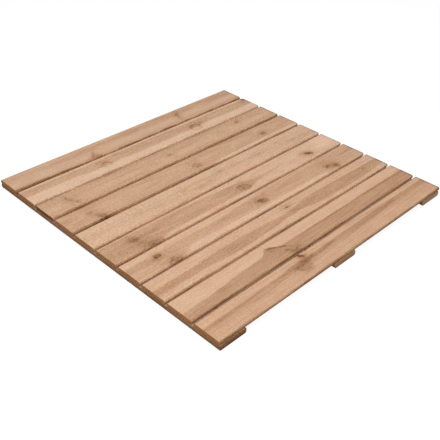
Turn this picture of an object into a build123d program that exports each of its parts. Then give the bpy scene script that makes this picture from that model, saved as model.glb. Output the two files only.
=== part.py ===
"""Square garden deck tile: planed slats laid across battens and stapled from below."""
import os

from build123d import *

os.makedirs("parts", exist_ok=True)

# Driving dimensions in millimetres. X runs along the slats, Y across them, Z up from the ground.
slat_count = 10
slat_length = 1000.0
slat_width = 93.0
slat_thickness = 13.0
slat_gap = 7.8

batten_width = 94.0
batten_thickness = 18.0

# All boards come from planed stock with the same rounding on their four long edges.
board_edge_radius = 5.5

# Flat wire staples, driven from below through the batten into the slat, two at each crossing.
staple_crown = 11.0
staple_leg = 26.0
wire_width = 1.6
wire_depth = 1.2
staple_sink = 0.6
staple_edge_margin = 26.0
staple_angle = 45.0
wire_clearance = 0.05

# Places that follow from the sizes above
slat_pitch = slat_width + slat_gap
tile_width = slat_count * slat_pitch - slat_gap
slat_centres = [tile_width / 2 - slat_width / 2 - row * slat_pitch for row in range(slat_count)]
batten_reach = (slat_length - batten_width) / 2
batten_centres = {"batten_left": -batten_reach, "batten_middle": 0.0, "batten_right": batten_reach}


def staple_spots(batten_x, slat_y):
    """Places of the two staples of one crossing, set diagonally so that they share no line of grain."""
    across_batten = batten_width / 2 - staple_edge_margin
    across_slat = slat_width / 2 - staple_edge_margin
    return [
        Location((batten_x + side * across_batten, slat_y + side * across_slat, staple_sink), (0, 0, staple_angle))
        for side in (-1, 1)
    ]


# One staple stands on its crown at Z = 0, with its legs up
with BuildPart() as staple:
    with BuildSketch(Plane.XZ):
        Rectangle(staple_crown, staple_leg, align=(Align.CENTER, Align.MIN))
        with Locations((0, wire_depth)):
            Rectangle(staple_crown - 2 * wire_depth, staple_leg, align=(Align.CENTER, Align.MIN), mode=Mode.SUBTRACT)
    extrude(amount=wire_width / 2, both=True)

# The slot that the staple cuts for itself, open below the crown as far as the batten's underside
with BuildPart() as staple_slot:
    with BuildSketch(Plane.XZ.offset(-wire_width / 2 - wire_clearance)):
        with Locations((0, -staple_sink)):
            Rectangle(
                staple_crown + 2 * wire_clearance,
                staple_sink + staple_leg + wire_clearance,
                align=(Align.CENTER, Align.MIN),
            )
        with Locations((0, wire_depth)):
            Rectangle(
                staple_crown - 2 * wire_depth - 2 * wire_clearance,
                staple_leg,
                align=(Align.CENTER, Align.MIN),
                mode=Mode.SUBTRACT,
            )
    extrude(amount=wire_width + 2 * wire_clearance)


def board_profile(width, thickness):
    """Section of a planed board with its four long edges rounded."""
    RectangleRounded(width, thickness, board_edge_radius, align=(Align.CENTER, Align.MIN))


# Slats, from the far side of the tile to the near side
for row, slat_y in enumerate(slat_centres, start=1):
    with BuildPart() as slat:
        with BuildSketch(Plane.YZ.offset(-slat_length / 2)):
            with Locations((slat_y, batten_thickness)):
                board_profile(slat_width, slat_thickness)
        extrude(amount=slat_length)
        for batten_x in batten_centres.values():
            with Locations(*staple_spots(batten_x, slat_y)):
                add(staple_slot.part, mode=Mode.SUBTRACT)
    slat.part.label = f"slat_{row:02d}"
    export_step(slat.part, f"parts/slat_{row:02d}.step")

# Battens below the slats, flush with the slat ends and with the outer slats
for batten_name, batten_x in batten_centres.items():
    with BuildPart() as batten:
        with BuildSketch(Plane.XZ.offset(-tile_width / 2)):
            with Locations((batten_x, 0)):
                board_profile(batten_width, batten_thickness)
        extrude(amount=tile_width)
        for slat_y in slat_centres:
            with Locations(*staple_spots(batten_x, slat_y)):
                add(staple_slot.part, mode=Mode.SUBTRACT)
    batten.part.label = batten_name
    export_step(batten.part, f"parts/{batten_name}.step")

# All staples, as one group of separate solids
with BuildPart() as staples:
    for batten_x in batten_centres.values():
        for slat_y in slat_centres:
            with Locations(*staple_spots(batten_x, slat_y)):
                add(staple.part)
staples.part.label = "staples"
export_step(staples.part, "parts/staples.step")
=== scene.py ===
import math
import random
from dataclasses import dataclass

import bmesh
import bpy
import numpy as np
from mathutils import Matrix, Vector

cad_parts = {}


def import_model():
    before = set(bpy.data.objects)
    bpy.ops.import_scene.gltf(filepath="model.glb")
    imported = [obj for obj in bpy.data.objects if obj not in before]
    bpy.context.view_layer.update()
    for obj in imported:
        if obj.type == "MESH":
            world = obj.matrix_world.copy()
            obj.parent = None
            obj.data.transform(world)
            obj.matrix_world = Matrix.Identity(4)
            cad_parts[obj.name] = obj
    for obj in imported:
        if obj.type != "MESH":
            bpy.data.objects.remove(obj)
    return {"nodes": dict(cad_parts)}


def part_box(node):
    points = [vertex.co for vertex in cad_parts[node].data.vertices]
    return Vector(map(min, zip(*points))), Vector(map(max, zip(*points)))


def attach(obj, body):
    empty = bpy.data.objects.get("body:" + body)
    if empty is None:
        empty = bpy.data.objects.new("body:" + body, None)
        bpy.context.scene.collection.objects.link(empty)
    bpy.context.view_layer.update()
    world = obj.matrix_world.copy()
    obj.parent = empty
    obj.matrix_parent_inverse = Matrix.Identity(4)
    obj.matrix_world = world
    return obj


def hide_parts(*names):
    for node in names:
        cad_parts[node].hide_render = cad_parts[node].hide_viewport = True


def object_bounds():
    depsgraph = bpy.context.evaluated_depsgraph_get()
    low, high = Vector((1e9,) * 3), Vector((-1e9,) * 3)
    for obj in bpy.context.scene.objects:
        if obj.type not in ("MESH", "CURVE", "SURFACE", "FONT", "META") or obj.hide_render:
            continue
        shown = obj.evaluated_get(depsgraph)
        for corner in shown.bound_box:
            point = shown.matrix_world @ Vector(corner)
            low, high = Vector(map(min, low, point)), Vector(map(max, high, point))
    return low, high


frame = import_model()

cad_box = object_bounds()

MM = 0.001
PHOTO_SIZE = 440


# What the photo shows of each slat. Lengths are in millimetres, X runs from the tile's middle,
# and places across a slat are shares of its width, from 0 at its far edge to 1 at its near edge.
# A tone of 0 is the darkest plain wood of the tile and 1 the palest.
@dataclass
class Band:
    """A stripe along the grain: its change of tone, its far and near borders as (X, share) points
    and their softness."""

    change: float
    far: tuple = ()
    near: tuple = ()
    far_soft: float = 0.05
    near_soft: float = 0.05


@dataclass
class Knot:
    """A branch cut through: its place, half length, half width, darkness, turn in degrees, how pale
    its heart is and how far it is only a soft stain."""

    x: float
    across: float
    long: float
    wide: float
    dark: float
    turn: float = 0.0
    pale_heart: float = 0.0
    stain: float = 0.0


@dataclass
class Chip:
    """A gouge: its place, its half length along and across the board and its depth."""

    x: float
    across: float
    long: float
    wide: float
    deep: float


@dataclass
class Board:
    """The figure of one board: its plain tone, the spacing, pith and taper of its rings, its speckle,
    the tone of its ends, the painted shade on its far edge and its marks."""

    tone: float
    ring: float
    pith: tuple
    taper: float = 0.0
    speckle: float = 1.0
    end_tone: float = 0.1
    far_edge_shade: float = 0.7
    bands: tuple = ()
    knots: tuple = ()
    chips: tuple = ()


# Painted shade along the near edges of the slats in front, which ends towards the right. The dark bands at
# the near edges of the other slats are painted shade of the grooves as well.
NEAR_EDGE_SHADE = Band(-0.28, far=((-500, 0.955), (0, 0.985), (500, 1.02)), far_soft=0.03)

SLATS = {
    "slat_01": Board(
        tone=0.6, ring=5.2, pith=(18, -70), taper=0.02, far_edge_shade=0.1,
        bands=(
            Band(
                0.16, far_soft=0.12,
                far=((-500, 0.5), (0, 0.5), (500, 0.52)),
                near=((-500, 0.82), (500, 0.8)),
            ),
            Band(
                -0.2, near_soft=0.1,
                far=((-500, 0.4), (-60, 0.2), (500, 0.1)),
                near=((-500, 0.4), (500, 0.45)),
            ),
            Band(-0.4, near=((-500, 0.01), (0, 0.03), (120, 0.06), (500, 0.06)), near_soft=0.03),
            Band(-0.42, far=((-500, 0.93), (-200, 0.95), (0, 0.97), (500, 0.96)), far_soft=0.04),
            Band(
                -0.55, far_soft=0.02,
                far=((-500, 0.95), (-300, 0.96), (-180, 0.995), (500, 0.995)),
            ),
        ),
        knots=(
            Knot(-192, 0.74, 24, 5, 0.5, 57),
            Knot(-184, 0.97, 11, 6, 0.45),
            Knot(212, 0.44, 11, 7, 0.5, 66),
            Knot(205, 0.72, 11, 5, 0.4, 75),
            Knot(227, 0.24, 14, 3, 0.25, 50),
        ),
    ),
    "slat_02": Board(
        tone=0.52, ring=4.4, pith=(30, -55), taper=-0.015, speckle=1.7, far_edge_shade=0.15,
        bands=(
            Band(
                0.58, far_soft=0.06,
                far=(
                    (-500, 0.5), (-330, 0.52), (-240, 0.62), (-100, 0.62), (150, 0.66), (300, 0.61),
                    (500, 0.6),
                ),
            ),
            Band(0.34, near=((-500, 0.12), (-100, 0.16), (500, 0.16)), near_soft=0.03),
            Band(
                -0.14, far_soft=0.02,
                far=((-500, 0.17), (500, 0.18)),
                near=((-500, 0.25), (500, 0.25)),
            ),
            Band(-0.18, far=((-500, 0.92), (500, 0.94)), far_soft=0.04),
        ),
        knots=(
            Knot(-195, 0.56, 17, 15, 0.46, pale_heart=1.0),
            Knot(-201, 0.42, 13, 6, 0.2),
            Knot(-203, 0.34, 22, 9, 0.1),
            Knot(201, 0.63, 21, 19, 0.62, pale_heart=1.0),
            Knot(190, 0.5, 16, 7, 0.28, 15),
            Knot(224, 0.56, 16, 4, 0.3, 40),
            Knot(206, 0.4, 36, 12, 0.1),
            Knot(491, 0.12, 8, 9, 0.9),
            Knot(471, 0.36, 9, 6, 0.3),
        ),
        chips=(
            Chip(498, 0.05, 6, 8, 2.5),
        ),
    ),
    "slat_03": Board(
        tone=0.52, ring=4.8, pith=(-12, -80), taper=0.015, speckle=1.55, end_tone=-0.4, far_edge_shade=0.2,
        bands=(
            Band(
                0.16, far_soft=0.12, near_soft=0.08,
                far=((-500, 0.5), (500, 0.46)),
                near=((-500, 0.78), (500, 0.74)),
            ),
            Band(-0.12, near=((-500, 0.16), (500, 0.14)), near_soft=0.08),
            Band(-0.5, far=((-500, 0.96), (500, 0.965)), far_soft=0.03),
        ),
        knots=(
            Knot(-416, 0.36, 7, 3, 0.4, 75),
            Knot(-407, 0.54, 5, 3.5, 0.5),
            Knot(-396, 0.72, 10, 5, 0.5, -50),
            Knot(-3, 0.53, 14, 6, 0.4, -20),
            Knot(337, 0.33, 13, 5, 0.55, 35),
            Knot(-240, 0.03, 60, 5, 0.35),
            Knot(172, 0.03, 45, 5, 0.35),
        ),
    ),
    "slat_04": Board(
        tone=0.5, ring=5.0, pith=(8, -64), taper=0.025, speckle=1.2, far_edge_shade=0.4,
        bands=(
            Band(0.45, far=((-500, 1.0), (60, 0.97), (130, 0.88), (500, 0.86)), far_soft=0.04),
            Band(
                0.1, far_soft=0.1, near_soft=0.1,
                far=((-500, 0.35), (-330, 0.3), (500, 0.4)),
                near=((-500, 0.35), (-330, 0.75), (0, 0.6), (500, 0.4)),
            ),
            Band(-0.75, far=((-500, 0.955), (60, 0.965), (140, 0.99), (500, 0.99)), far_soft=0.03),
        ),
        knots=(
            Knot(-407, 0.46, 12, 8, 0.35),
            Knot(-386, 0.82, 18, 10, 0.48, -60),
            Knot(-380, 0.97, 28, 7, 0.25, stain=1.0),
            Knot(18, 0.63, 17, 13, 0.45, -35),
            Knot(346, 0.6, 13, 9, 0.58),
            Knot(-390, 0.02, 45, 6, 0.39),
            Knot(200, 0.02, 130, 4, 0.3),
        ),
    ),
    "slat_05": Board(
        tone=0.79, ring=6.0, pith=(-25, -95), taper=0.01, speckle=1.6,
        bands=(
            Band(
                -0.1, far_soft=0.15, near_soft=0.15,
                far=((-500, 0.38), (500, 0.3)),
                near=((-500, 0.6), (500, 0.9)),
            ),
            Band(-0.1, far=((-500, 0.88), (500, 0.95)), far_soft=0.06),
            Band(-0.2, far=((-500, 0.96), (0, 0.975), (500, 1.0)), far_soft=0.03),
            Band(-0.4, near=((-500, 0.05), (60, 0.05), (160, 0.0), (500, 0.0)), near_soft=0.03),
        ),
        knots=(
            Knot(46, 0.42, 12, 3, 0.5),
            Knot(-300, 0.45, 16, 4, 0.2),
            Knot(-230, 0.62, 14, 4, 0.18),
            Knot(-120, 0.5, 14, 5, 0.25),
            Knot(-60, 0.72, 12, 4, 0.2),
            Knot(-10, 0.6, 14, 4, 0.2),
            Knot(110, 0.36, 12, 4, 0.2),
            Knot(220, 0.5, 14, 4, 0.2),
            Knot(330, 0.4, 14, 4, 0.25),
            Knot(385, 0.64, 12, 4, 0.2),
        ),
    ),
    "slat_06": Board(
        tone=0.82, ring=5.2, pith=(10, -58), taper=-0.02, speckle=1.3,
        bands=(
            Band(
                -0.44,
                far=(
                    (-500, 0.06), (-300, 0.12), (-100, 0.2), (0, 0.26), (80, 0.42), (160, 0.52),
                    (260, 0.55), (500, 0.55),
                ),
                near=(
                    (-500, 1.0), (-345, 0.98), (-300, 0.84), (-100, 0.83), (30, 0.83), (100, 0.68),
                    (180, 0.59), (260, 0.55), (500, 0.55),
                ),
            ),
            Band(
                -0.14, far_soft=0.1, near_soft=0.1,
                far=((-500, 0.28), (-300, 0.36), (-280, 0.36), (500, 0.36)),
                near=((-500, 0.84), (-330, 0.6), (-280, 0.36), (500, 0.36)),
            ),
            NEAR_EDGE_SHADE,
        ),
        knots=(
            Knot(-396, 0.36, 18, 12, 0.39, -30),
            Knot(-362, 0.97, 26, 9, 0.62, stain=1.0),
            Knot(-385, 0.72, 14, 8, 0.25, stain=0.6),
            Knot(37, 0.64, 22, 16, 0.6, -20, 0.35),
            Knot(358, 0.66, 15, 8, 1.05, -35),
            Knot(336, 0.54, 13, 5, 0.38, -30),
            Knot(460, 0.4, 45, 38, -0.25),
        ),
    ),
    "slat_07": Board(
        tone=0.51, ring=5.0, pith=(6, -60), taper=-0.015,
        bands=(
            Band(0.32, near=((-500, 0.3), (-100, 0.28), (60, 0.12), (500, 0.02)), near_soft=0.08),
            Band(
                0.42, far_soft=0.08,
                far=(
                    (-500, 0.98), (-330, 0.92), (-270, 0.7), (-100, 0.76), (100, 0.82), (290, 0.87),
                    (345, 1.0), (500, 1.0),
                ),
            ),
            Band(
                -0.1, far_soft=0.1, near_soft=0.1,
                far=((-500, 0.36), (500, 0.2)),
                near=((-500, 0.62), (500, 0.5)),
            ),
            NEAR_EDGE_SHADE,
        ),
        knots=(
            Knot(-393, 0.42, 10, 8, 0.9, pale_heart=0.2),
            Knot(-410, 0.5, 10, 7, 0.3),
            Knot(-370, 0.95, 26, 8, 0.5, stain=0.9),
            Knot(-354, 0.97, 9, 4, 0.4, stain=0.5),
            Knot(-372, 0.84, 16, 4, 0.3, 35),
            Knot(12, 0.5, 12, 8, 0.5),
            Knot(27, 0.6, 15, 9, 0.62),
            Knot(333, 0.64, 11, 9, 0.4),
            Knot(353, 0.74, 22, 15, 0.34),
            Knot(367, 0.85, 11, 9, 0.46, -50),
        ),
    ),
    "slat_08": Board(
        tone=0.68, ring=4.6, pith=(-4, -50), taper=0.015, speckle=1.25,
        bands=(
            Band(
                -0.48,
                far=(
                    (-500, 0.47), (-350, 0.45), (-200, 0.37), (-60, 0.45), (20, 0.5), (80, 0.43),
                    (130, 0.36), (300, 0.37), (500, 0.42),
                ),
                near=(
                    (-500, 0.74), (-350, 0.74), (-200, 0.84), (-60, 0.78), (40, 0.7), (150, 0.82),
                    (300, 0.86), (420, 0.82), (500, 0.76),
                ),
            ),
            Band(
                -0.4, far_soft=0.02, near_soft=0.02,
                far=((-500, 0.25), (-110, 0.25), (0, 0.26), (60, 0.28), (170, 0.37), (500, 0.37)),
                near=((-500, 0.25), (-110, 0.25), (0, 0.29), (60, 0.32), (170, 0.37), (500, 0.37)),
            ),
            NEAR_EDGE_SHADE,
        ),
        knots=(
            Knot(51, 0.28, 8, 2.8, 0.75),
            Knot(414, 0.57, 9, 6, 0.28),
        ),
    ),
    "slat_09": Board(
        tone=0.74, ring=4.2, pith=(-14, -48), taper=0.015, speckle=0.75,
        bands=(
            Band(
                -0.56, far_soft=0.03,
                far=(
                    (-500, 0.64), (-380, 0.6), (-260, 0.5), (-190, 0.45), (-168, 0.33),
                    (-154, 0.25), (-130, 0.34), (-105, 0.46), (0, 0.46), (250, 0.45), (500, 0.44),
                ),
            ),
            Band(
                -0.5, far_soft=0.025, near_soft=0.03,
                far=(
                    (-500, 0.26), (-166, 0.26), (-154, 0.25), (-130, 0.35), (-100, 0.52),
                    (-75, 0.68), (500, 0.68),
                ),
                near=(
                    (-500, 0.26), (-166, 0.26), (-154, 0.31), (-130, 0.43), (-100, 0.6),
                    (-75, 0.68), (500, 0.68),
                ),
            ),
            Band(
                -0.2, far_soft=0.03, near_soft=0.06,
                far=((-500, 0.5), (-90, 0.47), (500, 0.45)),
                near=((-500, 0.5), (-90, 0.5), (0, 0.56), (500, 0.56)),
            ),
            NEAR_EDGE_SHADE,
        ),
        knots=(
            Knot(-95, 0.97, 20, 7, 0.22, stain=0.7),
            Knot(-148, 0.4, 12, 9, 0.2, -50),
            Knot(-106, 0.8, 14, 3.5, 0.35, -55),
            Knot(-80, 0.86, 12, 3, 0.3, 30),
        ),
    ),
    "slat_10": Board(
        tone=0.5, ring=4.2, pith=(16, -52), taper=0.015, speckle=0.8, far_edge_shade=1.1,
        bands=(
            Band(
                -0.46, far_soft=0.04, near_soft=0.16,
                far=(
                    (-500, 0.36), (-300, 0.33), (-190, 0.3), (-150, 0.25), (-60, 0.28), (100, 0.26),
                    (300, 0.24), (500, 0.25),
                ),
                near=((-500, 0.52), (0, 0.48), (500, 0.46)),
            ),
            Band(0.08, near=((-500, 0.3), (500, 0.22))),
            Band(
                -0.2, far_soft=0.08, near_soft=0.05,
                far=((-500, 0.42), (500, 0.42)),
                near=((-500, 0.42), (-172, 0.42), (-123, 0.78), (-90, 0.42), (500, 0.42)),
            ),
            Band(-0.55, far=((-500, 0.97), (500, 0.97)), far_soft=0.02),
        ),
        knots=(
            Knot(-104, 0.12, 11, 5.5, 1.1, -45),
            Knot(-104, 0.2, 12, 8, 0.22, stain=1.0),
            Knot(-97, 0.045, 7, 4, -0.5),
            Knot(-130, 0.45, 34, 10, 0.12),
            Knot(-148, 0.6, 9, 3.5, 0.3, -50),
            Knot(-126, 0.68, 8, 3.5, 0.3),
        ),
        chips=(
            Chip(-105, 0.03, 5, 8, 0.7),
        ),
    ),
}
BATTENS = {
    "batten_left": Board(
        tone=0.12, ring=4.6, pith=(20, 60), taper=0.02, end_tone=-0.21,
        knots=(
            Knot(-210, 0.35, 10, 8, 0.6),
            Knot(260, 0.6, 12, 9, 0.7),
        ),
    ),
    "batten_middle": Board(
        tone=0.15, ring=5.0, pith=(-15, 70), taper=-0.02, end_tone=0.15,
        knots=(
            Knot(40, 0.55, 11, 9, 0.6),
            Knot(-330, 0.4, 8, 6, 0.5),
        ),
    ),
    "batten_right": Board(
        tone=0.12, ring=4.4, pith=(10, 55), taper=0.015, end_tone=0.42,
        knots=(
            Knot(-120, 0.45, 9, 8, 0.7),
            Knot(330, 0.3, 10, 8, 0.5),
        ),
    ),
}

# Colours of the stained wood by tone, on the planed faces and on the sawn ends, as linear light
PLANED_TONES = (
    (-1.4, (0.032, 0.016, 0.009)),
    (-0.7, (0.150, 0.067, 0.029)),
    (-0.25, (0.350, 0.178, 0.091)),
    (0.0, (0.452, 0.252, 0.143)),
    (0.5, (0.610, 0.374, 0.232)),
    (1.0, (0.752, 0.500, 0.342)),
    (1.3, (0.820, 0.575, 0.412)),
)
SAWN_TONES = (
    (-1.0, (0.100, 0.038, 0.013)),
    (-0.4, (0.300, 0.130, 0.048)),
    (0.0, (0.660, 0.296, 0.120)),
    (0.5, (0.730, 0.400, 0.195)),
    (1.0, (0.780, 0.490, 0.285)),
)
# What the planed wood's colour is multiplied by on the narrow sides: a painted shade that makes them darker
# and warmer, as they look in shade
SLAT_SIDE_TINT = (0.98, 0.985, 0.95)
BATTEN_SIDE_TINT = (0.90, 0.78, 0.65)
# The same for the sawn ends, which are greyer on the battens
SLAT_END_TINT = (1.0, 1.0, 1.0)
BATTEN_END_TINT = (0.95, 1.02, 1.3)
# How much paler the battens are painted on top and on their inner sides: painted fill light where the slats
# shade them
PAINTED_FILL_TONE = 0.7


class Graph:
    """Adds nodes and links to one material."""

    def __init__(self, name):
        self.material = bpy.data.materials.new(name)
        self.material.use_nodes = True
        self.nodes = self.material.node_tree.nodes
        self.links = self.material.node_tree.links
        self.nodes.clear()

    def put(self, socket, value):
        if isinstance(value, bpy.types.NodeSocket):
            self.links.new(value, socket)
        else:
            socket.default_value = value

    def math(self, operation, *values):
        node = self.nodes.new("ShaderNodeMath")
        node.operation = operation
        for socket, value in zip(node.inputs, values):
            self.put(socket, value)
        return node.outputs[0]

    def total(self, *values):
        result = values[0]
        for value in values[1:]:
            result = self.math("ADD", result, value)
        return result

    def product(self, *values):
        result = values[0]
        for value in values[1:]:
            result = self.math("MULTIPLY", result, value)
        return result

    def affine(self, value, scale, offset=0.0):
        return self.math("MULTIPLY_ADD", value, scale, offset)

    def smooth(self, value, low, high):
        """0 below low, 1 above high and a soft step between them."""
        node = self.nodes.new("ShaderNodeMapRange")
        node.interpolation_type = "SMOOTHSTEP"
        for name, given in (("Value", value), ("From Min", low), ("From Max", high)):
            self.put(node.inputs[name], given)
        return node.outputs[0]

    def bell(self, value):
        """1 at 0, falling off to both sides."""
        return self.math("EXPONENT", self.math("MULTIPLY", self.math("MULTIPLY", value, value), -1.0))

    def vector(self, x, y, z):
        node = self.nodes.new("ShaderNodeCombineXYZ")
        for socket, value in zip(node.inputs, (x, y, z)):
            self.put(socket, value)
        return node.outputs[0]

    def noise(self, vector, detail=2.0, roughness=0.5, distortion=0.0):
        """Smooth noise about 0, from about -0.35 to 0.35."""
        node = self.nodes.new("ShaderNodeTexNoise")
        self.put(node.inputs["Vector"], vector)
        self.put(node.inputs["Scale"], 1.0)
        self.put(node.inputs["Detail"], detail)
        self.put(node.inputs["Roughness"], roughness)
        self.put(node.inputs["Distortion"], distortion)
        return self.math("SUBTRACT", node.outputs[0], 0.5)

    def ramp(self, value, stops):
        node = self.nodes.new("ShaderNodeValToRGB")
        self.put(node.inputs[0], value)
        elements = node.color_ramp.elements
        while len(elements) < len(stops):
            elements.new(0.5)
        for element, (place, colour) in zip(elements, stops):
            element.position = place
            element.color = (*colour, 1.0)
        return node.outputs[0]

    def mix(self, factor, first, second):
        node = self.nodes.new("ShaderNodeMix")
        node.data_type = "RGBA"
        self.put(node.inputs[0], factor)
        self.put(node.inputs[6], first)
        self.put(node.inputs[7], second)
        return node.outputs[2]

    def tint(self, colour, factors):
        """A colour with its channels multiplied."""
        node = self.nodes.new("ShaderNodeMix")
        node.data_type = "RGBA"
        node.blend_type = "MULTIPLY"
        node.inputs[0].default_value = 1.0
        self.put(node.inputs[6], colour)
        node.inputs[7].default_value = (*factors, 1.0)
        return node.outputs[2]

    def surface(self, colour, roughness, height, bump_distance, **constants):
        """The finished surface, with a bump from a height."""
        bump = self.nodes.new("ShaderNodeBump")
        bump.inputs["Distance"].default_value = bump_distance
        self.put(bump.inputs["Height"], height)
        shader = self.nodes.new("ShaderNodeBsdfPrincipled")
        self.put(shader.inputs["Base Color"], colour)
        self.put(shader.inputs["Roughness"], roughness)
        self.put(shader.inputs["Normal"], bump.outputs[0])
        for name, value in constants.items():
            shader.inputs[name.replace("_", " ")].default_value = value
        output = self.nodes.new("ShaderNodeOutputMaterial")
        self.links.new(shader.outputs[0], output.inputs[0])
        return self.material


# Growth rings: how far they wander, what a knot does to them, and their shade from one to the next.
# Sizes of a noise are its length along the grain and its width across it, in millimetres.
WANDER = 16.0
WANDER_SIZE = (420, 160)
WANDER_DOWN = 0.5
BENDING_KNOT = 0.4
KNOT_SWELL = 14.0
SWELL_RINGS = 1.6
RING_WAVER = 0.5
RING_WAVER_SIZE = (90, 9)
RING_SHADE = ((0.0, 0.0), (0.45, 0.15), (0.82, 1.0), (0.94, 0.85), (1.0, 0.0))
FAINTEST_RING = 0.3

# Knots, with places in shares of a knot's own size. Each noise of a knot's edge has its strength,
# length, width, detail, roughness and shift.
KNOT_STAIN = 12.0
KNOT_EDGE_NOISES = ((1.3, 9, 6, 3.0, 0.6, 9.0), (0.5, 22, 3, 2.0, 0.5, 8.0))
CALM_EDGE = 0.6
HEART_FADE = (0.25, 1.4)
HEART_DEPTH = 0.72
HEART_RINGS = 14.0
HEART_RING_DEPTH = 0.14
RIM_PLACE = 0.95
RIM_WIDTH = 0.3
PALE_RIM_WIDTH = 0.2
RIM_DEPTH = 0.34
PALE_RIM_DEPTH = 0.74
STAIN_DEPTH = 0.46
PALE_STAIN_DEPTH = 0.14
STAIN_ONLY_DEPTH = 0.4

# Where a mask begins and ends: by the normal for the faces, and in millimetres for the places
END_FACE = (0.6, 0.9)
SIDE_FACE = (0.35, 0.95)
TOP_FACE = (0.9, 0.99)
RIM_REACH = (2.0, 9.0)
RIM_WAVER = 6.0
RIM_WAVER_SIZE = (3, 8)
END_REACH = (30.0, 60.0)
FOOT_REACH = (3.0, 9.0)
INNER_TOP_REACH = (8.0, 20.0)
TILE_END = cad_box[1][0] / MM
OUTER_SIDE = (TILE_END - 30.0, TILE_END - 10.0)
# The same in shares of a board's width, and by the level of a noise; the first is where the painted shade
# on a far edge fades out
FAR_EDGE_SHARE = (0.03, 0.065)
PORE_LEVEL = (0.16, 0.24)
CRACK_LEVEL = (0.17, 0.24)

# Noises of the figure
BORDER_DRIFT_SIZE = (240, 90)
BORDER_DRIFT = 0.08
BORDER_WAVER_SIZE = (45, 9)
BORDER_WAVER = 0.06
FIBRE_SIZE = (34, 1.5)
FLECK_SIZE = (9, 3.2)
GRAIN_SIZE = (130, 5.5)
MOTTLE_SIZE = (70, 26)
PORE_SIZE = (7, 0.9)
SIDE_PATCH_SIZE = (110, 40)
SAW_MARK_SIZE = (4, 7)
CRACKS_ROUND = 26.0
CRACKS_OUTWARD = 0.02

# What the noises and masks add to the tone of the planed faces and of the sawn ends
PLAIN_TONE = 0.08
LATE_TONE = -0.26
FIBRE_TONE = 0.68
FLECK_TONE = 1.3
GRAIN_TONE = 0.6
MOTTLE_TONE = 0.3
PORE_TONE = -0.16
RIM_TONE = -0.8
# Painted shade along the feet of the battens' open sides and ends
FOOT_SHADE_TONE = -0.9
SIDE_PATCH_TONE = 1.2
END_LATE_TONE = -0.4
END_CRACK_TONE = -0.6
END_SAW_TONE = 0.7
# Painted shade along the feet of the ends
END_FOOT_SHADE_TONE = -0.4

# Tint, shine and relief
SIDE_TINT_SHARE = 0.9
HUE_DRIFT = 0.03
GRAIN_SATURATION = 0.25
RIM_SATURATION = -0.3
# The painted shade on the far edges is also a little greyer
FAR_EDGE_SATURATION = -0.1
WOOD_ROUGHNESS = 0.68
FIBRE_ROUGHNESS = 0.25
LATE_ROUGHNESS = -0.08
END_ROUGHNESS = 0.15
WOOD_SPECULAR = 0.05
RELIEF = 0.3 * MM
FIBRE_RELIEF = 0.5
LATE_RELIEF = 0.4
PORE_RELIEF = -0.5
KNOT_RELIEF = 0.3
SAW_RELIEF = 2.0

# The noises of each board start at a place of their own
SEED_STEP = 37.0
SEED_START = 11.0


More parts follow.
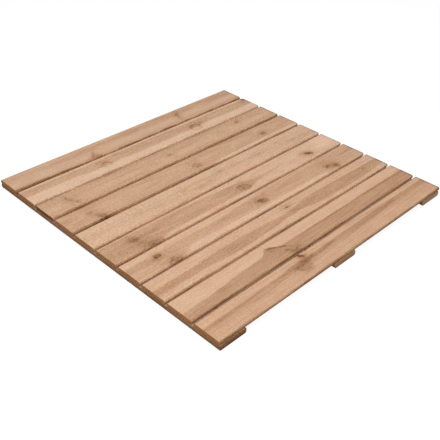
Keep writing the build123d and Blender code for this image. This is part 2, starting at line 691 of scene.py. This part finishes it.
class Wood:
    """The solid figure of one board, as sockets of its material's graph."""

    def __init__(self, name, board, lengthwise):
        self.g = Graph(name + "_finish")
        self.board = board
        low, high = (Vector(corner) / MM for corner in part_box(name))
        centre = (low + high) / 2
        size = high - low
        crosswise = 1 - lengthwise
        self.lengthwise = lengthwise
        self.side_tint = BATTEN_SIDE_TINT if name in BATTENS else SLAT_SIDE_TINT
        self.end_tint = BATTEN_END_TINT if name in BATTENS else SLAT_END_TINT
        self.width = size[crosswise]
        self.half_thickness = size[2] / 2
        # Only the battens get painted shade along their feet
        self.foot_shade_weight = 1.0 if name in BATTENS else 0.0
        # Only the battens get painted fill light on top and on their inner sides
        self.painted_fill_tone = PAINTED_FILL_TONE if name in BATTENS else 0.0
        self.far_end = high[lengthwise]
        self.seed = SEED_STEP * (list(SLATS) + list(BATTENS)).index(name) + SEED_START
        place = self.g.nodes.new("ShaderNodeTexCoord").outputs["Object"]
        split = self.g.nodes.new("ShaderNodeSeparateXYZ")
        self.g.links.new(place, split.inputs[0])
        self.along = self.g.affine(split.outputs[lengthwise], 1 / MM)
        self.across = self.g.affine(split.outputs[crosswise], 1 / MM, -centre[crosswise])
        self.up = self.g.affine(split.outputs[2], 1 / MM, -centre[2])
        self.outward = self.g.math("ABSOLUTE", self.g.affine(split.outputs[0], 1 / MM))

    def streaks(self, long, wide, detail=2.0, roughness=0.5, shift=0.0):
        """Noise drawn out along the grain, with marks of about the given sizes."""
        g = self.g
        place = g.vector(
            g.affine(self.along, 1 / long, self.seed + shift),
            g.affine(self.across, 1 / wide),
            g.affine(self.up, 1 / wide),
        )
        return g.noise(place, detail, roughness)

    def knot_distance(self, knot, grown=0.0):
        """Distance from a knot's middle, in its own half lengths, or in those of a knot grown all round."""
        g = self.g
        turn = math.radians(knot.turn)
        beside = g.math("SUBTRACT", self.along, knot.x)
        below = g.math("SUBTRACT", self.across, (0.5 - knot.across) * self.width)
        first = g.total(g.product(beside, math.cos(turn)), g.product(below, math.sin(turn)))
        second = g.total(g.product(below, math.cos(turn)), g.product(beside, -math.sin(turn)))
        first = g.product(first, 1 / (knot.long + grown))
        second = g.product(second, 1 / (knot.wide + grown))
        return g.math("SQRT", g.math("ADD", g.product(first, first), g.product(second, second)))

    def rings(self):
        """Late wood of the growth rings, 0 to 1, bent round the knots."""
        g, board = self.g, self.board
        wander = g.product(self.streaks(*WANDER_SIZE, 1.0), WANDER)
        side = g.total(g.math("SUBTRACT", self.across, board.pith[0]), wander)
        sunk_pith = g.affine(self.along, board.taper, -board.pith[1])
        depth = g.total(sunk_pith, self.up, g.product(wander, WANDER_DOWN))
        radius = g.math("SQRT", g.math("ADD", g.product(side, side), g.product(depth, depth)))
        for knot in board.knots:
            if knot.dark >= BENDING_KNOT:
                swell = g.bell(self.knot_distance(knot, KNOT_SWELL))
                radius = g.math("ADD", radius, g.product(swell, SWELL_RINGS * board.ring))
        self.angle = g.math("ARCTAN2", side, depth)
        self.radius = radius
        waver = g.product(self.streaks(*RING_WAVER_SIZE, 2.0), RING_WAVER)
        phase = g.math("ADD", g.math("MULTIPLY", radius, 1 / board.ring), waver)
        part = g.math("FRACT", phase)
        late = g.ramp(part, [(place, (level, level, level)) for place, level in RING_SHADE])
        pick = g.nodes.new("ShaderNodeTexWhiteNoise")
        pick.noise_dimensions = "1D"
        g.put(pick.inputs["W"], g.math("ADD", g.math("FLOOR", phase), self.seed))
        return g.product(late, g.affine(pick.outputs["Value"], 1 - FAINTEST_RING, FAINTEST_RING))

    def border(self, points):
        """A smooth line along the board through a few (X, share) points, as the share at each place."""
        node = self.g.nodes.new("ShaderNodeFloatCurve")
        first = points[0][0]
        span = points[-1][0] - first
        curve = node.mapping.curves[0]
        while len(curve.points) < len(points):
            curve.points.new(0.5, 0.5)
        for point, (x, share) in zip(curve.points, points):
            point.location = ((x - first) / span, share)
            point.handle_type = "AUTO_CLAMPED"
        node.mapping.update()
        self.g.put(node.inputs["Value"], self.g.affine(self.along, 1 / span, -first / span))
        return node.outputs[0]

    def past(self, share, points, soft):
        """1 past a border and 0 before it."""
        g = self.g
        line = self.border(points)
        return g.smooth(share, g.math("SUBTRACT", line, soft), g.math("ADD", line, soft))

    def band_tone(self, share):
        """Change of tone by the stripes along the board."""
        g = self.g
        changes = [0.0]
        for band in self.board.bands:
            begun = self.past(share, band.far, band.far_soft) if band.far else 1.0
            ended = self.past(share, band.near, band.near_soft) if band.near else 0.0
            changes.append(g.product(g.math("SUBTRACT", begun, ended), band.change))
        return g.total(*changes)

    def knot_tone(self):
        """Change of tone at the knots: a heart with rings, a darker rim and a stain round them."""
        g = self.g
        rough = g.total(*(
            g.product(self.streaks(long, wide, detail, roughness, shift), strength)
            for strength, long, wide, detail, roughness, shift in KNOT_EDGE_NOISES
        ))
        changes = [0.0]
        for knot in self.board.knots:
            pale = knot.pale_heart
            edge = g.math("ADD", self.knot_distance(knot), g.product(rough, 1 - CALM_EDGE * pale))
            heart = g.math("SUBTRACT", 1.0, g.smooth(edge, *HEART_FADE))
            rim_width = RIM_WIDTH + (PALE_RIM_WIDTH - RIM_WIDTH) * pale
            rim = g.bell(g.affine(edge, 1 / rim_width, -RIM_PLACE / rim_width))
            stain = g.bell(self.knot_distance(knot, KNOT_STAIN))
            rings = g.product(heart, g.math("SINE", g.affine(edge, HEART_RINGS)), HEART_RING_DEPTH)
            figure = g.total(
                g.product(heart, HEART_DEPTH * (1 - pale)),
                g.product(rim, RIM_DEPTH + (PALE_RIM_DEPTH - RIM_DEPTH) * pale),
                rings,
            )
            stain_depth = STAIN_DEPTH + (PALE_STAIN_DEPTH - STAIN_DEPTH) * pale
            stain_depth += STAIN_ONLY_DEPTH * knot.stain
            shade = g.total(g.product(figure, 1 - knot.stain), g.product(stain, stain_depth))
            changes.append(g.product(shade, -knot.dark))
        return g.total(*changes)

    def facing(self):
        """Masks from 0 to 1: a sawn end, a narrow side, a rim by the far end, painted shade along the foot
        of an open side, and a face that gets painted fill light."""
        g = self.g
        normal = g.nodes.new("ShaderNodeSeparateXYZ")
        g.links.new(g.nodes.new("ShaderNodeNewGeometry").outputs["Normal"], normal.inputs[0])
        end = g.smooth(g.math("ABSOLUTE", normal.outputs[self.lengthwise]), *END_FACE)
        side = g.smooth(g.math("ABSOLUTE", normal.outputs[1 - self.lengthwise]), *SIDE_FACE)
        to_far_end = g.affine(self.along, -1.0, self.far_end)
        rim_waver = g.product(self.streaks(*RIM_WAVER_SIZE, 2.0, shift=12.0), RIM_WAVER)
        rim = g.math("SUBTRACT", 1.0, g.smooth(g.total(to_far_end, rim_waver), *RIM_REACH))
        from_ends = g.affine(g.math("ABSOLUTE", self.along), -1.0, self.far_end)
        from_sides = g.affine(g.math("ABSOLUTE", self.across), -1.0, self.width / 2)
        near_end = g.math("SUBTRACT", 1.0, g.smooth(from_ends, *END_REACH))
        open_side = g.math("MAXIMUM", g.smooth(self.outward, *OUTER_SIDE), near_end)
        above_ground = g.affine(self.up, 1.0, self.half_thickness)
        foot = g.math("SUBTRACT", 1.0, g.smooth(above_ground, *FOOT_REACH))
        # Painted shade along the feet of open sides and of ends
        foot_shade = g.product(foot, g.math("MAXIMUM", end, g.product(side, open_side)), self.foot_shade_weight)
        # Tops away from the edges and inner sides, which get painted fill light
        inside = g.smooth(g.math("MINIMUM", from_sides, from_ends), *INNER_TOP_REACH)
        inner_top = g.product(g.smooth(normal.outputs[2], *TOP_FACE), inside)
        inner_side = g.product(side, g.math("SUBTRACT", 1.0, open_side))
        return end, side, rim, foot_shade, g.math("MAXIMUM", inner_top, inner_side)

    def palette(self, tone, tones):
        low, high = tones[0][0], tones[-1][0]
        place = self.g.affine(tone, 1 / (high - low), -low / (high - low))
        return self.g.ramp(place, [((t - low) / (high - low), colour) for t, colour in tones])

    def finish(self):
        """The board's finished material."""
        g, board = self.g, self.board
        late = self.rings()
        level_share = g.affine(self.across, -1 / self.width, 0.5)
        share = g.total(
            level_share,
            g.product(self.streaks(*BORDER_DRIFT_SIZE, 2.0, shift=2.0), BORDER_DRIFT),
            g.product(self.streaks(*BORDER_WAVER_SIZE, 2.0, shift=4.0), BORDER_WAVER),
        )
        fibre = self.streaks(*FIBRE_SIZE, 3.0, 0.65)
        fleck = self.streaks(*FLECK_SIZE, 2.0, 0.6, shift=5.0)
        grain = self.streaks(*GRAIN_SIZE, 3.0, 0.6, shift=1.0)
        mottle = self.streaks(*MOTTLE_SIZE, 3.0, 0.55, shift=3.0)
        pores = g.smooth(self.streaks(*PORE_SIZE, 1.0, shift=6.0), *PORE_LEVEL)
        patches = self.streaks(*SIDE_PATCH_SIZE, 2.0, shift=14.0)
        sawn = self.streaks(*SAW_MARK_SIZE, 3.0, 0.7, shift=7.0)
        knots = self.knot_tone()
        ends, sides, rim, foot_shade, painted_fill = self.facing()
        # Painted shade along the rounded far edge by the groove
        far_edge_shade = g.math("SUBTRACT", 1.0, g.smooth(level_share, *FAR_EDGE_SHARE))
        tone = g.total(
            board.tone,
            PLAIN_TONE,
            self.band_tone(share),
            knots,
            g.product(late, LATE_TONE),
            g.product(fibre, FIBRE_TONE),
            g.product(fleck, FLECK_TONE * board.speckle),
            g.product(grain, GRAIN_TONE),
            g.product(mottle, MOTTLE_TONE),
            g.product(pores, PORE_TONE),
            g.product(rim, RIM_TONE),
            g.product(far_edge_shade, -board.far_edge_shade),
            # painted shade along the feet
            g.product(foot_shade, FOOT_SHADE_TONE),
            # painted fill light
            g.product(painted_fill, self.painted_fill_tone),
            g.product(sides, patches, SIDE_PATCH_TONE),
        )
        crack_place = g.vector(
            g.affine(self.angle, CRACKS_ROUND, self.seed),
            g.affine(self.radius, CRACKS_OUTWARD),
            self.seed,
        )
        cracks = g.smooth(g.noise(crack_place, 2.0, 0.6), *CRACK_LEVEL)
        end_tone = g.total(
            board.end_tone,
            g.product(late, END_LATE_TONE),
            g.product(cracks, END_CRACK_TONE),
            g.product(sawn, END_SAW_TONE),
            # painted shade along the feet of the ends
            g.product(foot_shade, END_FOOT_SHADE_TONE),
        )
        plain = self.palette(tone, PLANED_TONES)
        # The narrow sides get their side tint, a painted shade
        planed = g.mix(g.product(sides, SIDE_TINT_SHARE), plain, g.tint(plain, self.side_tint))
        colour = g.mix(ends, planed, g.tint(self.palette(end_tone, SAWN_TONES), self.end_tint))
        drift = g.nodes.new("ShaderNodeHueSaturation")
        g.put(drift.inputs["Hue"], g.affine(mottle, HUE_DRIFT, 0.5))
        saturation = g.total(
            1.0,
            g.product(grain, GRAIN_SATURATION),
            g.product(rim, RIM_SATURATION),
            g.product(far_edge_shade, FAR_EDGE_SATURATION),
        )
        g.put(drift.inputs["Saturation"], saturation)
        g.put(drift.inputs["Color"], colour)
        roughness = g.total(
            WOOD_ROUGHNESS,
            g.product(fibre, FIBRE_ROUGHNESS),
            g.product(late, LATE_ROUGHNESS),
            g.product(ends, END_ROUGHNESS),
        )
        height = g.total(
            g.product(fibre, FIBRE_RELIEF),
            g.product(late, LATE_RELIEF),
            g.product(pores, PORE_RELIEF),
            g.product(knots, KNOT_RELIEF),
            g.product(ends, g.math("SUBTRACT", g.product(sawn, SAW_RELIEF), cracks)),
        )
        return g.surface(
            drift.outputs[0], roughness, height, RELIEF, Specular_IOR_Level=WOOD_SPECULAR
        )


# Staple wire: its spangles to a metre, rust, colours as linear light, roughness and relief
SPANGLES = 900.0
RUST_LEVEL = (0.1, 0.3)
ZINC = [(0.3, (0.34, 0.34, 0.33)), (0.7, (0.56, 0.56, 0.54))]
RUST = (0.22, 0.10, 0.05, 1.0)
WIRE_ROUGHNESS = 0.45
SPANGLE_ROUGHNESS = 0.5
WIRE_RELIEF = 0.1 * MM


def zinc_wire():
    """Dull zinc on staple wire, with a little rust."""
    g = Graph("staple_wire_finish")
    place = g.nodes.new("ShaderNodeTexCoord").outputs["Object"]
    scale = g.nodes.new("ShaderNodeVectorMath")
    scale.operation = "SCALE"
    g.links.new(place, scale.inputs[0])
    scale.inputs["Scale"].default_value = SPANGLES
    spangle = g.noise(scale.outputs[0], 4.0, 0.6)
    rust = g.smooth(spangle, *RUST_LEVEL)
    colour = g.mix(rust, g.ramp(g.affine(spangle, 1.0, 0.5), ZINC), RUST)
    roughness = g.affine(spangle, SPANGLE_ROUGHNESS, WIRE_ROUGHNESS)
    return g.surface(colour, roughness, spangle, WIRE_RELIEF, Metallic=0.9)


# Shape of the dressed boards. The rest of the ease and the first stations are shares of END_EASE,
# a chip's reach is a share of its half length, and the ranges of the dents are in millimetres.
ARC_STEPS = 7
FACE_STEP = 3.2 * MM
STATION_STEP = 4.0 * MM
CHIP_STEP = 1.0 * MM
EDGE_RADIUS = 5.5 * MM
END_EASE = 0.5 * MM
EASE_DEPTH = 0.8
EASE_STATIONS = (0.0, 0.3, 0.7, 1.2)
FIRST_STATION = 2.0
FIRST_CHIP_STATION = 3.0
CHIP_REACH = 1.6
CHIP_WALL = 0.7
DENT_SIZE = 2.5 * MM
DENT_INSET = 1.6 * MM
DENT_COUNT = (9, 14)
DENT_LENGTH = (2, 9)
DENT_DEPTH = (0.1, 0.55)
KNOT_HOLLOW = 0.35 * MM
SHALLOW_KNOT = 0.4
SHARP_EDGE = math.radians(40)


def section(width, thickness):
    """Rounded outline of a board as points across and up, counter-clockwise, each with its inward
    normal."""
    points = []
    corners = ((1, 1, 0), (-1, 1, 90), (-1, -1, 180), (1, -1, 270))
    onward = ((-1, 0), (0, -1), (1, 0), (0, 1))
    for index, (side, top, start) in enumerate(corners):
        centre = (side * (width / 2 - EDGE_RADIUS), top * (thickness / 2 - EDGE_RADIUS))
        for step in range(ARC_STEPS + 1):
            angle = math.radians(start + 90 * step / ARC_STEPS)
            normal = (-math.cos(angle), -math.sin(angle))
            points.append((
                centre[0] - EDGE_RADIUS * normal[0], centre[1] - EDGE_RADIUS * normal[1], *normal
            ))
        flat = (width if index % 2 == 0 else thickness) - 2 * EDGE_RADIUS
        steps = max(1, round(flat / FACE_STEP))
        across, up, *normal = points[-1]
        for step in range(1, steps):
            offset = flat * step / steps
            points.append((across + onward[index][0] * offset, up + onward[index][1] * offset, *normal))
    return np.array(points)


def stations(length, chips):
    """Places along a board, close together at its eased ends and at its chips."""
    ease = np.array(EASE_STATIONS) * END_EASE
    first = FIRST_STATION * END_EASE
    first_fine = FIRST_CHIP_STATION * END_EASE
    runs = [np.linspace(first, length - first, round(length / STATION_STEP))]
    for chip in chips:
        middle = length / 2 + chip.x * MM
        reach = CHIP_REACH * chip.long * MM
        fine = np.arange(middle - reach, middle + reach, CHIP_STEP)
        runs.append(fine[(fine > first_fine) & (fine < length - first_fine)])
    inner = np.unique(np.round(np.concatenate(runs), 5))
    return np.concatenate([ease, inner, length - ease[::-1]])


def dents(name, length):
    """Small knocks along a board's upper edges: place along, side, length and depth."""
    rng = random.Random(name)
    return [
        (
            rng.uniform(0, length),
            rng.choice((-1, 1)),
            rng.uniform(*DENT_LENGTH) * MM,
            rng.uniform(*DENT_DEPTH) * MM,
        )
        for _ in range(rng.randint(*DENT_COUNT))
    ]


def sunk(name, board, places, outline, length, width, thickness):
    """How deep each point of a board's skin lies below its plain form."""
    depth = np.zeros((len(places), len(outline)))
    from_end = np.minimum(places, length - places)
    ease_length = EASE_STATIONS[-1] * END_EASE
    depth += END_EASE * EASE_DEPTH * (1 - np.clip(from_end / ease_length, 0, 1))[:, None] ** 2
    on_top = (outline[:, 1] > 0)[None, :]
    for place, side, reach, deep in dents(name, length):
        along = np.exp(-((places - place) / reach) ** 2)[:, None]
        to_side = (outline[:, 0] * side - width / 2 + DENT_INSET) / DENT_SIZE
        to_top = (outline[:, 1] - thickness / 2 + DENT_INSET) / DENT_SIZE
        depth += deep * along * np.exp(-(to_side ** 2) - to_top ** 2)[None, :]
    for mark in (*board.knots, *board.chips):
        beside = (places - length / 2 - mark.x * MM)[:, None] / (mark.long * MM)
        below = (outline[:, 0] - (0.5 - mark.across) * width)[None, :] / (mark.wide * MM)
        if isinstance(mark, Chip):
            hollow = np.clip(1 - beside ** 2 - below ** 2, 0, 1) ** CHIP_WALL
            depth += mark.deep * MM * hollow * on_top
        elif mark.dark > SHALLOW_KNOT:
            depth += KNOT_HOLLOW * mark.dark * np.exp(-(beside ** 2) - below ** 2) * on_top
    return depth


def skin(name, board, lengthwise):
    """Mesh of a board in the place and form of a CAD node, with eased ends, knocks and chips."""
    low, high = (Vector(corner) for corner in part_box(name))
    crosswise = 1 - lengthwise
    length, width, thickness = (high[axis] - low[axis] for axis in (lengthwise, crosswise, 2))
    outline = section(width, thickness)
    places = stations(length, board.chips)
    depth = sunk(name, board, places, outline, length, width, thickness)
    count = len(outline)
    points = np.zeros((len(places), count, 3))
    points[:, :, lengthwise] = (low[lengthwise] + places)[:, None]
    middle = [(low[axis] + high[axis]) / 2 for axis in range(3)]
    points[:, :, crosswise] = middle[crosswise] + outline[:, 0] + depth * outline[:, 2]
    points[:, :, 2] = middle[2] + outline[:, 1] + depth * outline[:, 3]
    faces = []
    for row in range(len(places) - 1):
        base = row * count
        for step in range(count):
            after = (step + 1) % count
            faces.append((base + step, base + after, base + count + after, base + count + step))
    faces.append(tuple(range(count))[::-1])
    faces.append(tuple(range((len(places) - 1) * count, len(places) * count)))
    mesh = bpy.data.meshes.new(name + "_dressed")
    mesh.from_pydata(points.reshape(-1, 3).tolist(), [], faces)
    shape = bmesh.new()
    shape.from_mesh(mesh)
    bmesh.ops.recalc_face_normals(shape, faces=shape.faces)
    shape.to_mesh(mesh)
    shape.free()
    return mesh


def dressed_board(name, board, lengthwise):
    """A finely meshed board that stands for a CAD node."""
    piece = bpy.data.objects.new(name + "_dressed", skin(name, board, lengthwise))
    bpy.context.scene.collection.objects.link(piece)
    piece.data.materials.append(Wood(name, board, lengthwise).finish())
    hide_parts(name)
    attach(piece, "root")
    return piece


def smooth_faces(piece):
    """Smooth shading apart from the sharp edges."""
    piece.data.shade_smooth()
    piece.data.set_sharp_from_angle(angle=SHARP_EDGE)


# Slots for the staples' crowns in the undersides of the battens
SLOT_CLEARANCE = 0.05 * MM
SLOT_TOP = 1.85 * MM
SLOT_BOTTOM = -1.0 * MM
WELD = 0.01 * MM


def crowns(staples):
    """Middle, direction, half length and half width of each staple's crown, from the staples' own mesh."""
    shape = bmesh.new()
    shape.from_mesh(staples.data)
    bmesh.ops.remove_doubles(shape, verts=shape.verts, dist=WELD)
    waiting = set(shape.verts)
    found = []
    while waiting:
        island = [waiting.pop()]
        for vertex in island:
            for edge in vertex.link_edges:
                other = edge.other_vert(vertex)
                if other in waiting:
                    waiting.remove(other)
                    island.append(other)
        foot = np.array([vertex.co.xy for vertex in island if vertex.co.z < SLOT_TOP])
        middle = (foot.min(0) + foot.max(0)) / 2
        direction = np.linalg.svd(foot - middle)[2][0]
        across = np.array([-direction[1], direction[0]])
        half_length = abs((foot - middle) @ direction).max()
        half_width = abs((foot - middle) @ across).max()
        found.append((middle, direction, half_length, half_width))
    shape.free()
    return found


def cut_slots(batten, staples):
    """Cuts the slots of the crowns that lie in a batten."""
    low, high = (Vector(corner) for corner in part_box(batten.name.removesuffix("_dressed")))
    shape = bmesh.new()
    for middle, direction, half_length, half_width in crowns(staples):
        if not low.x < middle[0] < high.x:
            continue
        along = Vector((*direction, 0.0)) * (half_length + SLOT_CLEARANCE)
        across = Vector((-direction[1], direction[0], 0.0)) * (half_width + SLOT_CLEARANCE)
        up = Vector((0.0, 0.0, (SLOT_TOP - SLOT_BOTTOM) / 2))
        centre = Vector((*middle, low.z + (SLOT_TOP + SLOT_BOTTOM) / 2))
        block = Matrix((along, across, up)).transposed().to_4x4()
        bmesh.ops.create_cube(shape, size=2.0, matrix=Matrix.Translation(centre) @ block)
    bmesh.ops.recalc_face_normals(shape, faces=shape.faces)
    mesh = bpy.data.meshes.new("crown_slots")
    shape.to_mesh(mesh)
    shape.free()
    cutter = bpy.data.objects.new("crown_slots", mesh)
    bpy.context.scene.collection.objects.link(cutter)
    cut = batten.modifiers.new("slots", "BOOLEAN")
    cut.operation = "DIFFERENCE"
    cut.solver = "EXACT"
    cut.object = cutter
    finished = bpy.data.meshes.new_from_object(batten.evaluated_get(bpy.context.evaluated_depsgraph_get()))
    batten.modifiers.remove(cut)
    bpy.data.objects.remove(cutter)
    batten.data = finished


staples = frame["nodes"]["staples"]
staples.data.materials.clear()
staples.data.materials.append(zinc_wire())
for slat_name, slat in SLATS.items():
    smooth_faces(dressed_board(slat_name, slat, 0))
for batten_name, batten_figure in BATTENS.items():
    batten = dressed_board(batten_name, batten_figure, 1)
    cut_slots(batten, staples)
    smooth_faces(batten)


# Floor and light. Under the tile the floor glows as a hidden fill light, and what it lights has
# the colour of HIDDEN_FLOOR. The camera sees it in the grooves as GROOVE_FLOOR, a painted shade.
FLOOR_HALF = 30.0
FLOOR_DROP = 0.3 * MM
FLOOR_GREY = 0.14
HIDDEN_FLOOR = (0.85, 0.76, 0.66)
GROOVE_FLOOR = (0.42, 0.30, 0.20)
HIDDEN_GLOW = 0.42
FLOOR_GLOW = 0.9
HORIZON_START = -0.1
HORIZON_LIGHT = 0.22
ZENITH_LIGHT = 0.62
# How far from the middle the hidden floor reaches, how much farther it does so below the battens,
# and where the battens begin and end
UNDER_TILE = 0.455
BEYOND_TILE = 0.475
BELOW_BATTENS = 0.0225
OUTER_BATTENS = (0.405, 0.42)
MIDDLE_BATTEN = (0.035, 0.05)


def seen_directly(g_nodes, g_links):
    """1 for what the camera sees itself, in a mirror or through glass."""
    path = g_nodes.new("ShaderNodeLightPath")
    seen = path.outputs["Is Camera Ray"]
    for name in ("Is Glossy Ray", "Is Transmission Ray"):
        either = g_nodes.new("ShaderNodeMath")
        either.operation = "MAXIMUM"
        g_links.new(seen, either.inputs[0])
        g_links.new(path.outputs[name], either.inputs[1])
        seen = either.outputs[0]
    return seen


def floor():
    """Pale floor that looks white beyond the tile, keeps a soft shadow close to it and is clear
    from below. Under the tile it glows as a hidden fill light and shows the camera a painted shade."""
    g = Graph("studio_floor")
    diffuse = g.nodes.new("ShaderNodeBsdfDiffuse")
    place = g.nodes.new("ShaderNodeSeparateXYZ")
    g.links.new(g.nodes.new("ShaderNodeTexCoord").outputs["Object"], place.inputs[0])
    sideways = g.math("ABSOLUTE", place.outputs[0])
    endways = g.math("ABSOLUTE", place.outputs[1])
    below_outer = g.smooth(sideways, *OUTER_BATTENS)
    below_middle = g.math("SUBTRACT", 1.0, g.smooth(sideways, *MIDDLE_BATTEN))
    farther = g.product(g.math("MAXIMUM", below_outer, below_middle), BELOW_BATTENS)
    from_middle = g.math("SUBTRACT", g.math("MAXIMUM", sideways, endways), farther)
    beyond = g.smooth(from_middle, UNDER_TILE, BEYOND_TILE)
    seen = seen_directly(g.nodes, g.links)
    # Seen by the camera, the floor under the tile shows a painted groove shade
    hidden = g.mix(seen, (*HIDDEN_FLOOR, 1.0), (*GROOVE_FLOOR, 1.0))
    g.put(diffuse.inputs["Color"], g.mix(beyond, hidden, (FLOOR_GREY, FLOOR_GREY, FLOOR_GREY, 1.0)))
    glow = g.nodes.new("ShaderNodeEmission")
    g.put(glow.inputs["Color"], g.mix(beyond, hidden, (1.0, 1.0, 1.0, 1.0)))
    outside = g.product(seen, beyond, FLOOR_GLOW)
    # Under the tile the floor glows as hidden fill light
    g.put(glow.inputs["Strength"], g.total(outside, g.affine(beyond, -HIDDEN_GLOW, HIDDEN_GLOW)))
    both = g.nodes.new("ShaderNodeAddShader")
    g.links.new(diffuse.outputs[0], both.inputs[0])
    g.links.new(glow.outputs[0], both.inputs[1])
    one_way = g.nodes.new("ShaderNodeMixShader")
    g.links.new(g.nodes.new("ShaderNodeNewGeometry").outputs["Backfacing"], one_way.inputs[0])
    g.links.new(both.outputs[0], one_way.inputs[1])
    g.links.new(g.nodes.new("ShaderNodeBsdfTransparent").outputs[0], one_way.inputs[2])
    output = g.nodes.new("ShaderNodeOutputMaterial")
    g.links.new(one_way.outputs[0], output.inputs[0])
    mesh = bpy.data.meshes.new("studio_floor")
    level = cad_box[0][2] - FLOOR_DROP
    corners = [(x * FLOOR_HALF, y * FLOOR_HALF, level) for x, y in ((-1, -1), (1, -1), (1, 1), (-1, 1))]
    mesh.from_pydata(corners, [], [(0, 1, 2, 3)])
    mesh.materials.append(g.material)
    plane = bpy.data.objects.new("studio_floor", mesh)
    bpy.context.scene.collection.objects.link(plane)


def lamp(name, place, size, power):
    """A soft square lamp aimed at the tile's middle."""
    light = bpy.data.lights.new(name, "AREA")
    light.size = size
    light.energy = power
    holder = bpy.data.objects.new(name, light)
    holder.location = place
    holder.rotation_euler = Vector(place).to_track_quat("Z", "Y").to_euler()
    bpy.context.scene.collection.objects.link(holder)


def world():
    """Soft studio light, strongest from above, and white where the camera sees it."""
    studio = bpy.data.worlds.new("studio")
    studio.use_nodes = True
    nodes, links = studio.node_tree.nodes, studio.node_tree.links
    direction = nodes.new("ShaderNodeSeparateXYZ")
    links.new(nodes.new("ShaderNodeTexCoord").outputs["Generated"], direction.inputs[0])
    rise = nodes.new("ShaderNodeMapRange")
    links.new(direction.outputs[2], rise.inputs["Value"])
    rise.inputs["From Min"].default_value = HORIZON_START
    rise.inputs["From Max"].default_value = 1.0
    rise.inputs["To Min"].default_value = HORIZON_LIGHT
    rise.inputs["To Max"].default_value = ZENITH_LIGHT
    level = nodes.new("ShaderNodeMix")
    level.data_type = "FLOAT"
    links.new(seen_directly(nodes, links), level.inputs[0])
    links.new(rise.outputs[0], level.inputs[2])
    level.inputs[3].default_value = 1.0
    background = nodes["Background"]
    background.inputs["Color"].default_value = (1.0, 1.0, 1.0, 1.0)
    links.new(level.outputs[0], background.inputs["Strength"])
    bpy.context.scene.world = studio


def camera():
    """The photo's view, from a camera fitted to the tile's outline."""
    elevation, azimuth, roll = math.radians(35.46), math.radians(-46.99), math.radians(2.07)
    distance, focal_pixels, centre_pixel = 2.0662, 691.4, 240.7
    aim = Vector((-0.1019, -0.1829, cad_box[1][2]))
    back = Vector((
        math.sin(azimuth) * math.cos(elevation),
        -math.cos(azimuth) * math.cos(elevation),
        math.sin(elevation),
    ))
    level = Vector((0, 0, 1)).cross(back).normalized()
    upright = back.cross(level)
    right = level * math.cos(roll) + upright * math.sin(roll)
    up = upright * math.cos(roll) - level * math.sin(roll)
    lens = bpy.data.cameras.new("photo_view")
    lens.sensor_width = 36.0
    lens.lens = focal_pixels / PHOTO_SIZE * lens.sensor_width
    lens.shift_x = (PHOTO_SIZE / 2 - centre_pixel) / PHOTO_SIZE
    viewer = bpy.data.objects.new("photo_view", lens)
    turn = Matrix((right, up, back)).transposed().to_4x4()
    viewer.matrix_world = Matrix.Translation(aim + back * distance) @ turn
    bpy.context.scene.collection.objects.link(viewer)
    bpy.context.scene.camera = viewer


floor()
world()
lamp("overhead", place=(-0.6, -0.9, 2.9), size=2.4, power=48.0)
lamp("front_fill", place=(-1.7, -2.0, 1.5), size=1.6, power=11.0)
camera()
bpy.context.scene.view_settings.view_transform = "Standard"
